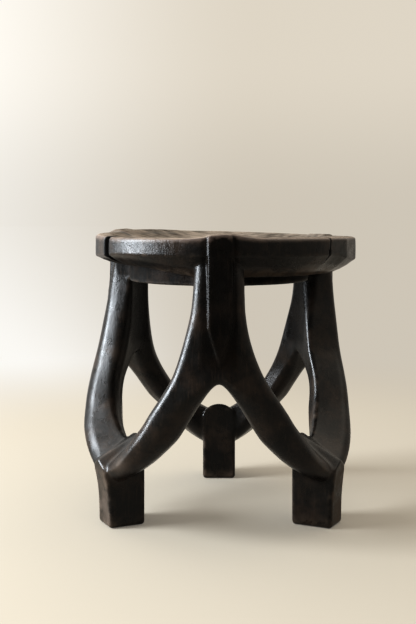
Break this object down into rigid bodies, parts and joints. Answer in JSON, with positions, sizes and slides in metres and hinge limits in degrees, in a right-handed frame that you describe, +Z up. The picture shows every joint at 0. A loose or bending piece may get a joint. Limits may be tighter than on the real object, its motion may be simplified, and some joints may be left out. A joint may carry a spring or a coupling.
{
  "type": "carved wooden stool",
  "caption": "Low round stool carved from one block of dark wood: a dished seat on forked columns whose arms curve down to short feet, open at the sides and hollow in the middle.",
  "frame": {"origin": "on the floor, in the middle of the stool's bounding box", "axes": "+Z up; -Y is the front, where one column stands between two feet"},
  "size_m": [0.3576, 0.3503, 0.364],
  "materials": {
    "stained_wood": "dark brown-black stain with a satin polish, worn lighter on edges and on the feet"
  },
  "bodies": {
    "root": {"carved_stool": "stained_wood"}
  },
  "joints": []
}
